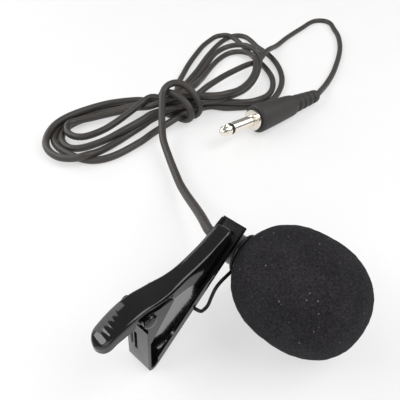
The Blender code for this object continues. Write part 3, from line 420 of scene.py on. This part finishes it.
def lathe(name, profile, axes, slot, body, nodes, segments=72, closed=True):
    """Turns a profile of (radius, z) points, in millimetres, about the z axis of the given frame."""
    shape = bmesh.new()
    rings = []
    for radius, z in profile:
        if radius < 1e-6:
            rings.append([shape.verts.new(axes @ Vector((0, 0, z * MM)))] * segments)
            continue
        rings.append([shape.verts.new(axes @ (Vector((radius * math.cos(a), radius * math.sin(a), z)) * MM))
                      for a in (2 * math.pi * k / segments for k in range(segments))])
    for one, two in zip(rings, rings[1:] + (rings[:1] if closed else [])):
        for k in range(segments):
            corners = [one[k], one[(k + 1) % segments], two[(k + 1) % segments], two[k]]
            unique = list(dict.fromkeys(corners))
            if len(unique) > 2:
                shape.faces.new(unique)
    return finish_piece(mesh_object(name, shape), slot, body, *nodes)


def prism(outline, low, high):
    """A closed block: an outline of (x, z) points in millimetres, from one y to another."""
    shape = bmesh.new()
    loops = [[shape.verts.new(place(x, y, z)) for x, z in outline] for y in (low, high)]
    shape.faces.new(loops[0])
    shape.faces.new(loops[1][::-1])
    count = len(outline)
    for k in range(count):
        shape.faces.new((loops[0][k], loops[1][k], loops[1][(k + 1) % count], loops[0][(k + 1) % count]))
    return shape


def soften(piece, width, segments=2, angle=30):
    """Rounds a piece's edges with a bevel whose normals keep the flat faces flat."""
    bevel = piece.modifiers.new("edges", "BEVEL")
    bevel.width = width * MM
    bevel.segments = segments
    bevel.limit_method = "ANGLE"
    bevel.angle_limit = math.radians(angle)
    bevel.harden_normals = True
    return piece


def wire(name, points, diameter, slot, body, *nodes):
    """A round wire or cord along points of the clip's frame, in millimetres."""
    data = bpy.data.curves.new(name, "CURVE")
    data.dimensions = "3D"
    data.bevel_depth = diameter / 2 * MM
    data.bevel_resolution = 6
    data.use_fill_caps = True
    spline = data.splines.new("POLY")
    spline.points.add(len(points) - 1)
    for corner, point in zip(spline.points, points):
        corner.co = (*place(*point), 1.0)
    spline.use_smooth = True
    return finish_piece(bpy.data.objects.new(name, data), slot, body, *nodes)


# ---------------------------------------------------------------- microphone
MIC = Matrix.Translation(place(MIC_AT[0], 0, MIC_AT[1])) @ Matrix.Rotation(math.pi / 2, 4, "X")
TUBE = 3.25                                      # radius of the microphone's tube
lathe("mic_tube", rounded([(TUBE, 13.5), (TUBE, -3.3), (TUBE - 0.5, -3.8), (2.0, -3.8), (2.0, -3.0),
                           (2.85, -3.0), (2.85, 13.5)], 0.12),
      MIC, "housing", "microphone", ["mic_housing"], 96)
lathe("mic_relief", rounded([(2.3, -2.2), (2.3, -2.7), (1.7, -2.7), (1.7, -4.1), (2.0, -4.1), (2.0, -4.4),
                             (1.9, -4.5), (1.6, -5.0), (1.25, -5.0), (1.25, -2.2)], 0.08),
      MIC, "rubber", "microphone", ["strain_relief"], 64)

FOAM_RADIUS = 10.8
FOAM_MOUTH = 4.0
FOAM_MIDDLE = 15.8
FOAM_BACK = 12.4
FOAM_END = 28.0
FOAM_BORE_END = 15.0
FOAM_POWER = 2.25


def foam_piece():
    """Barrel of foam with a soft rim round its mouth, its skin roughened as cut foam is."""
    shape = 2 / FOAM_POWER
    low = -math.asin(((FOAM_MIDDLE - FOAM_MOUTH) / FOAM_BACK) ** (FOAM_POWER / 2))
    steps = 150
    skin = []
    for step in range(steps + 1):
        angle = math.pi / 2 + (low - math.pi / 2) * step / steps
        reach = FOAM_END - FOAM_MIDDLE if angle > 0 else FOAM_BACK
        height = math.copysign(abs(math.sin(angle)) ** shape, angle)
        skin.append((FOAM_RADIUS * max(0.0, math.cos(angle)) ** shape, FOAM_MIDDLE + reach * height))
    skin[0] = (0.0, FOAM_END)
    bore = TUBE + 0.3
    inside = [(bore + 0.1, FOAM_MOUTH + 0.1)] + [(bore, FOAM_MOUTH + 0.5 + k) for k in range(11)]
    inside.append((0.0, FOAM_BORE_END))
    piece = lathe("foam_windscreen", skin + inside, MIC, "foam", "windscreen", ["windscreen"], 220,
                  closed=False)
    middle = MIC.translation
    rng = np.random.default_rng(5)
    waves = rng.normal(size=(36, 3)) * rng.choice([900, 1700, 3200], size=(36, 1))
    phases = rng.uniform(0, 2 * math.pi, 36)
    mesh = piece.data
    count = len(mesh.vertices)
    points = np.empty(count * 3)
    mesh.vertices.foreach_get("co", points)
    points = points.reshape(-1, 3)
    rough = np.sin(points @ waves.T + phases).sum(axis=1) / 6
    out = points - np.array(middle)
    out[:, 1] = out[:, 1] + FOAM_MIDDLE * MM
    length = np.linalg.norm(out, axis=1, keepdims=True)
    outside = (length[:, 0] > 1.25 * bore * MM).astype(float) * (points[:, 2] > 0.15 * MM)
    moved = points + out / length * (rough * outside * 0.035 * MM)[:, None]
    moved[:, 2] = np.maximum(moved[:, 2], 0.00001)
    mesh.vertices.foreach_set("co", moved.ravel())
    mesh.update()
    return piece


foam_piece()

# ---------------------------------------------------------------- clip
SHEET = 0.6
PLATE = math.radians(33.0)
LEVER_SHEET = 0.5
LEVER_TOP = [(-7.0, 15.0), (-6.1, 15.8), (-4.0, 16.5), (-1.0, 16.95), (2.0, 16.75), (5.0, 16.0), (8.5, 15.4),
             (12.5, 15.4), (17.0, 16.0), (20.5, 16.9), (22.6, 17.4), (24.0, 16.9)]
LEVER_HALF = [(-5.0, 2.05), (-3.0, 2.2), (-1.0, 2.3), (2.0, 2.35), (5.0, 2.3), (7.0, 2.15), (9.0, 1.9),
              (11.5, 1.7), (15.0, 1.7), (22.3, 1.75)]
top_line = curve_through(LEVER_TOP)
half_line = curve_through(LEVER_HALF)
LEVER_TAIL = -7.0
LEVER_NOSE = 24.0
RIBS = [-5.4 + 0.9 * k for k in range(5)]
RIB_HEIGHT = 0.06
RIB_WIDTH = 0.24
EARS = (-0.7, 7.4)                               # where the ears stand beside the lever
CORNER = (-0.2008, -1.1405)                      # of the fold, where plate and flap would meet


def plate_over(x):
    """Height of the plate's upper face, from the fold's corner up its slope."""
    return CORNER[1] + (x - CORNER[0]) * math.tan(PLATE) + SHEET / math.cos(PLATE)


low_line = np.array([(-7.0, 13.9), (-6.4, 13.9), (-4.4, 14.6), (-0.8, 14.9), (-0.7, 14.9), (7.4, 13.5),
                     (9.6, 12.9), (13.0, 11.8), (14.4, plate_over(14.4) + 0.36),
                     (24.0, plate_over(24.0) + 0.3)])


def lever_top(x):
    return float(np.interp(x, top_line[:, 0], top_line[:, 1]))


def lever_low(x):
    """Height of the lever's lower edge, which stops under the top where the ears stand beside it."""
    if EARS[0] < x < EARS[1]:
        return lever_top(x) - LEVER_SHEET - 0.1
    return float(np.interp(x, low_line[:, 0], low_line[:, 1]))


def lever_stations(inward):
    """Places along the lever and its half width there, round at both ends, drawn in by inward."""
    tail, nose = LEVER_TAIL + inward, LEVER_NOSE - inward
    tail_half = LEVER_HALF[0][1] - inward
    nose_half = LEVER_HALF[-1][1] - inward
    turns = [math.pi / 2 * k / 16 for k in range(17)]
    made = [(tail + tail_half * (1 - math.cos(a)), tail_half * math.sin(a)) for a in turns]
    start, end = tail + tail_half, nose - nose_half
    for x in np.linspace(start, end, 250)[1:-1]:
        made.append((float(x), float(np.interp(x, half_line[:, 0], half_line[:, 1])) - inward))
    made += [(nose - nose_half * (1 - math.cos(a)), nose_half * math.sin(a)) for a in reversed(turns)]
    return made


def lever_sections(inward):
    """Rings of points from the near lower edge, over the top and down to the far lower edge."""
    sections = []
    for x, half in lever_stations(inward):
        high = lever_top(x) - inward
        low = min(lever_low(x), high - 0.05)
        edge = min(max(0.5 - inward, 0.12), 0.8 * half, 0.8 * (high - low))
        crown = 0.14 * half / 2
        side = [(half, low + (high - edge - low) * k / 5) for k in range(6)]
        arc = [(half - edge * (1 - math.cos(a)), high - edge * (1 - math.sin(a)))
               for a in (math.pi / 2 * k / 6 for k in range(1, 7))]
        flat = [((half - edge) * (1 - k / 9), high) for k in range(1, 10)]
        right = side + arc + flat
        ring = []
        for y, z in right + [(-y, z) for y, z in reversed(right[:-1])]:
            lift = 0.0
            if z > low + 0.01 and half > 1e-3:
                lift = crown * max(0.0, 1 - (y / half) ** 2) * min(1.0, (z - low) / max(0.05, high - low))
            if inward == 0:
                across = min(1.0, max(0.0, (1.55 - abs(y)) / 0.3))
                for rib in RIBS:
                    lift += RIB_HEIGHT * across * math.exp(-((x - rib) / RIB_WIDTH) ** 2) * (z > high - 0.02)
            ring.append((x, y, z + lift))
        sections.append(ring)
    return sections


def lever_piece():
    """The lever: an outer and an inner skin, closed along their lower edges."""
    shape = bmesh.new()
    skins = [[[shape.verts.new(place(*point)) for point in ring] for ring in lever_sections(inward)]
             for inward in (0.0, LEVER_SHEET)]
    for rings in skins:
        for one, two in zip(rings, rings[1:]):
            for k in range(len(one) - 1):
                shape.faces.new((one[k], one[k + 1], two[k + 1], two[k]))
    outer, inner = skins
    for k in (0, -1):
        for (a, b), (c, d) in zip(zip(outer, outer[1:]), zip(inner, inner[1:])):
            shape.faces.new((a[k], b[k], d[k], c[k]))
    bmesh.ops.remove_doubles(shape, verts=shape.verts, dist=0.0000005)
    bmesh.ops.dissolve_degenerate(shape, edges=shape.edges, dist=0.0000001)
    return finish_piece(mesh_object("lever", shape, 40), "clip_paint", "lever", "clip_lever")


lever_piece()
LUG = [(-0.9, 16.35), (1.0, 16.35), (3.0, 16.0), (5.0, 15.5), (7.8, 15.0), (7.8, 13.4), (7.4, 13.5),
       (4.4, 14.2)]
HUB_RADIUS = 1.5
HUB = [(PIN_AT[0] + HUB_RADIUS * math.cos(a), PIN_AT[1] + HUB_RADIUS * math.sin(a))
       for a in (math.radians(-30 - 14 * k) for k in range(11))]
for side, low, high in (("near", -1.7, -1.2), ("far", 1.2, 1.7)):
    lug = mesh_object(f"lever_lug_{side}", prism(LUG + HUB + [(-0.8, 14.9)], low, high))
    finish_piece(soften(lug, 0.07), "clip_paint", "lever")


def from_cad(name, node, slot, body, width, angle=30, merge=3.0):
    """A piece with a CAD node's shape, its flats made whole again and its edges rounded."""
    shape = bmesh.new()
    shape.from_mesh(frame["nodes"][node].data)
    bmesh.ops.remove_doubles(shape, verts=shape.verts, dist=0.000002)
    bmesh.ops.dissolve_limit(shape, angle_limit=math.radians(merge), verts=shape.verts, edges=shape.edges)
    piece = mesh_object(name, shape, angle)
    return finish_piece(soften(piece, width, 3, angle), slot, body, node)


from_cad("clip_plate", "clip_base", "clip_paint", "clip", 0.1)
BEAD_HALF = (0.35, 2.1)                          # half its width and half its height
BEAD_MIDDLE = (1.7, 7.2)                         # y and z, on the flap
FLAP = math.radians(85.2)
bead = rounded([(-BEAD_HALF[0], -BEAD_HALF[1]), (BEAD_HALF[0], -BEAD_HALF[1]), BEAD_HALF,
                (-BEAD_HALF[0], BEAD_HALF[1])], 0.3, 6)
shape = bmesh.new()
rings = []
for inset, out in ((0.0, -0.1), (0.0, 0.1), (0.08, 0.2), (0.2, 0.25)):
    ring = []
    for across, along in bead:
        y = BEAD_MIDDLE[0] + across * (1 - inset / BEAD_HALF[0])
        z = BEAD_MIDDLE[1] + along * (1 - inset / BEAD_HALF[1])
        x = CORNER[0] + (z - CORNER[1]) / math.tan(FLAP) - out
        ring.append(shape.verts.new(place(x, y, z)))
    rings.append(ring)
for one, two in zip(rings, rings[1:]):
    for k in range(len(one)):
        shape.faces.new((one[k], one[(k + 1) % len(one)], two[(k + 1) % len(one)], two[k]))
shape.faces.new(rings[0][::-1])
shape.faces.new(rings[-1])
finish_piece(mesh_object("flap_bead", shape), "clip_paint", "clip")

ACROSS = Matrix.Translation(PIN) @ Matrix.Rotation(math.pi / 2, 4, "X")
DOME_RADIUS = 1.3
DOME_HEIGHT = 0.55
DOME_FOOT = 3.0                                  # where the head meets the ear
dome = [(DOME_RADIUS * math.cos(a), DOME_FOOT + DOME_HEIGHT * math.sin(a))
        for a in (math.pi / 2 * (1 - k / 12) for k in range(13))]
dome[0] = (0.0, DOME_FOOT + DOME_HEIGHT)
far_head = rounded([(0.6, -3.0), (0.85, -3.0), (0.85, -3.35), (0.0, -3.35)], 0.14, closed=False)
lathe("pin", dome + [(1.22, 2.98), (0.6, 3.0)] + [tuple(p) for p in far_head], ACROSS, "clip_paint", "clip",
      ["pivot_pin"], 64, closed=False)

SPRING_WIRE = 0.5
COIL_RADIUS = 1.15
COIL_HALF = 0.9                                  # half its length along the pin
COIL_TURN = 3 * 2 * math.pi + math.pi / 2
COIL_STEPS = 220
coil = []
for step in range(COIL_STEPS + 1):
    angle = COIL_TURN * step / COIL_STEPS
    coil.append((PIN_AT[0] + COIL_RADIUS * math.cos(angle), -COIL_HALF + 2 * COIL_HALF * step / COIL_STEPS,
                 PIN_AT[1] + COIL_RADIUS * math.sin(angle)))
leg = curve_through([(2.05, -COIL_HALF, 8.2), (2.3, -COIL_HALF, 10.4), (2.6, -COIL_HALF, 12.9), coil[0]], 8)
wire("spring_coil", [tuple(p) for p in leg[:-1]] + coil, SPRING_WIRE, "steel", "clip", "torsion_spring")
arm = curve_through([coil[-1], (3.2, COIL_HALF, 15.3), (6.0, COIL_HALF, 14.6), (9.4, COIL_HALF, 14.1)], 8)
wire("spring_arm", [tuple(p) for p in arm[4:]], SPRING_WIRE, "steel", "lever")


def plate_under(x):
    return plate_over(x) - SHEET / math.cos(PLATE)


HOLDER_WIRE = 0.7
HOLDER_GAP = 0.3                                 # clear space beside the wire
UNDER_PLATE = HOLDER_GAP + HOLDER_WIRE / 2       # from the plate's underside to the wire's middle
RING = TUBE + UNDER_PLATE
RING_Y = -3.35
hanging = [(x, y, plate_under(x) - UNDER_PLATE / math.cos(PLATE) - drop)
           for x, y, drop in ((19.0, 1.2, 0.0), (16.0, 1.2, 0.0), (13.4, 0.9, 0.0), (12.2, -0.4, 0.0),
                              (12.2, -2.0, 0.2))]
hanging += [(x, RING_Y, z) for x, z in ((12.6, 5.7), (13.6, 5.0), (14.8, 5.2), (15.8, 6.8), (16.9, 8.2),
                                        (18.4, 8.8), (20.2, 8.9))]
HOOP_START = 208.0                               # degrees, and the turn that the ring makes from there
HOOP_TURN = 338.0
HOOP_STEPS = 104
hoop = []
for step in range(HOOP_STEPS + 1):
    angle = math.radians(HOOP_START - HOOP_TURN * step / HOOP_STEPS)
    hoop.append((MIC_AT[0] + RING * math.cos(angle), RING_Y, MIC_AT[1] + RING * math.sin(angle)))
bent = curve_through(hanging + [hoop[0]], 12)
wire("holder", [tuple(p) for p in bent[:-1]] + hoop, HOLDER_WIRE, "black_wire", "clip", "holder_wire")
RIVET_AT = (17.4, 1.2)                           # x and y, under the plate
RIVET_HALF = 0.3                                 # half the head's thickness
drop = HOLDER_GAP + HOLDER_WIRE + HOLDER_GAP + RIVET_HALF
RIVET = (Matrix.Translation(place(RIVET_AT[0] + drop * math.sin(PLATE), RIVET_AT[1],
                                  plate_under(RIVET_AT[0]) - drop * math.cos(PLATE)))
         @ Matrix.Rotation(-PLATE, 4, "Y"))
lathe("rivet", rounded([(0.0, RIVET_HALF), (1.1, RIVET_HALF), (1.1, -0.12), (0.7, -RIVET_HALF),
                        (0.0, -RIVET_HALF)], 0.16, closed=False),
      RIVET, "clip_paint", "clip", ["holder_rivet"], 48, closed=False)

# ---------------------------------------------------------------- plug
PLUG_HEADING = math.radians(172.0)
PLUG_TILT = math.radians(3.6)
RELIEF_RIBS = 4
RELIEF_PITCH = 2.85
RELIEF_START = -18.8
RELIEF_END = -31.0
PLUG = (Matrix.Translation(place(77.2, 31.4, 4.75)) @ Matrix.Rotation(PLUG_HEADING, 4, "Z")
        @ Matrix.Rotation(math.pi / 2 - PLUG_TILT, 4, "Y"))
moulding = [(3.95, 0.0), (4.55, -0.6), (4.5, -3.0), (4.1, -9.5), (3.62, -16.2), (3.35, -17.8), (2.9, -18.4)]
for rib in range(RELIEF_RIBS):
    top = RELIEF_START - RELIEF_PITCH * rib
    ridge = 2.95 - 0.2 * rib
    moulding += [(ridge - 0.5, top), (ridge - 0.5, top - 0.85), (ridge, top - 1.05),
                 (ridge - 0.08, top - 2.7)]
moulding += [(2.05, RELIEF_END), (1.35, RELIEF_END), (1.35, -12.0), (2.3, -11.0), (2.3, 0.0)]
plug_body = lathe("plug_body", rounded(moulding, 0.28, 3), PLUG, "plug_moulding", "microphone",
                  ["plug_moulding"], 96)
shaft = rounded([(0.85, 10.2), (1.75, 10.2), (1.75, 1.5), (3.3, 1.5), (3.3, 0.3), (2.0, 0.3), (2.0, -6.0),
                 (0.85, -6.0)], 0.14)
plug_shaft = lathe("plug_shaft", shaft, PLUG, "nickel", "microphone", ["plug_sleeve"], 96)
plug_ring = lathe("plug_ring", rounded([(0.85, 11.0), (1.75, 11.0), (1.75, 10.4), (0.85, 10.4)], 0.08), PLUG,
                  "black_plastic", "microphone", ["plug_insulator"], 72)
nose = rounded([(0.0, 15.0), (0.5, 14.9), (1.1, 14.3), (1.62, 13.4), (1.2, 12.6), (1.2, 12.3), (1.75, 11.8),
                (1.75, 11.2), (0.55, 11.2), (0.55, -8.0), (0.0, -8.0)], 0.16, closed=False)
plug_nose = lathe("plug_nose", nose, PLUG, "nickel", "microphone", ["plug_tip"], 72, closed=False)

cord = wire("cord", [tuple(point) for point in line], CORD, "cord_jacket", "microphone", "cord_lead",
            "hank_left", "hank_tie", "hank_right", "cord_tail")

# ---------------------------------------------------------------- finishes of the CAD nodes that stay
for entry in frame["record"]["subparts"]:
    node = frame["nodes"][entry["node"]]
    node.data.materials.clear()
    node.data.materials.append(LOOKS[entry["material_slot"]])

# ---------------------------------------------------------------- floor and light
FLOOR_HALF = 2.0                                 # metres
FLOOR_GLOW = 0.54                                # the floor's own light, which keeps its shadows pale
WORLD_LIGHT = 0.29
floor_mesh = bpy.data.meshes.new("floor")
shape = bmesh.new()
bmesh.ops.create_grid(shape, x_segments=1, y_segments=1, size=FLOOR_HALF)
shape.to_mesh(floor_mesh)
shape.free()
floor = bpy.data.objects.new("floor", floor_mesh)
bpy.context.scene.collection.objects.link(floor)
floor_mesh.materials.append(LOOKS["paper"])
paper = LOOKS["paper"].node_tree.nodes["Principled BSDF"]
socket(paper, "Emission Color", (1, 1, 1, 1))
socket(paper, "Emission Strength", FLOOR_GLOW)

world = bpy.data.worlds.new("world")
bpy.context.scene.world = world
world.use_nodes = True
sky = world.node_tree.nodes["Background"]
socket(sky, "Color", (1, 1, 1, 1))
socket(sky, "Strength", WORLD_LIGHT)
bpy.context.scene.view_settings.view_transform = "Standard"


def area_light(name, where, aim, size, power):
    """A square lamp of the given size and power, turned to face a point."""
    data = bpy.data.lights.new(name, "AREA")
    data.shape = "SQUARE"
    data.size = size
    data.energy = power
    lamp = bpy.data.objects.new(name, data)
    bpy.context.scene.collection.objects.link(lamp)
    lamp.location = where
    lamp.rotation_euler = (aim - where).to_track_quat("-Z", "Y").to_euler()


area_light("key", place(-310, 220, 370), place(10, 0, 10), 0.2, 0.6)
area_light("back", place(-60, 560, 350), place(50, 40, 0), 0.6, 2.2)
area_light("left", place(-420, -200, 330), place(40, 20, 0), 0.5, 1.0)
area_light("front", place(280, -300, 470), place(40, -20, 5), 0.5, 2.4)
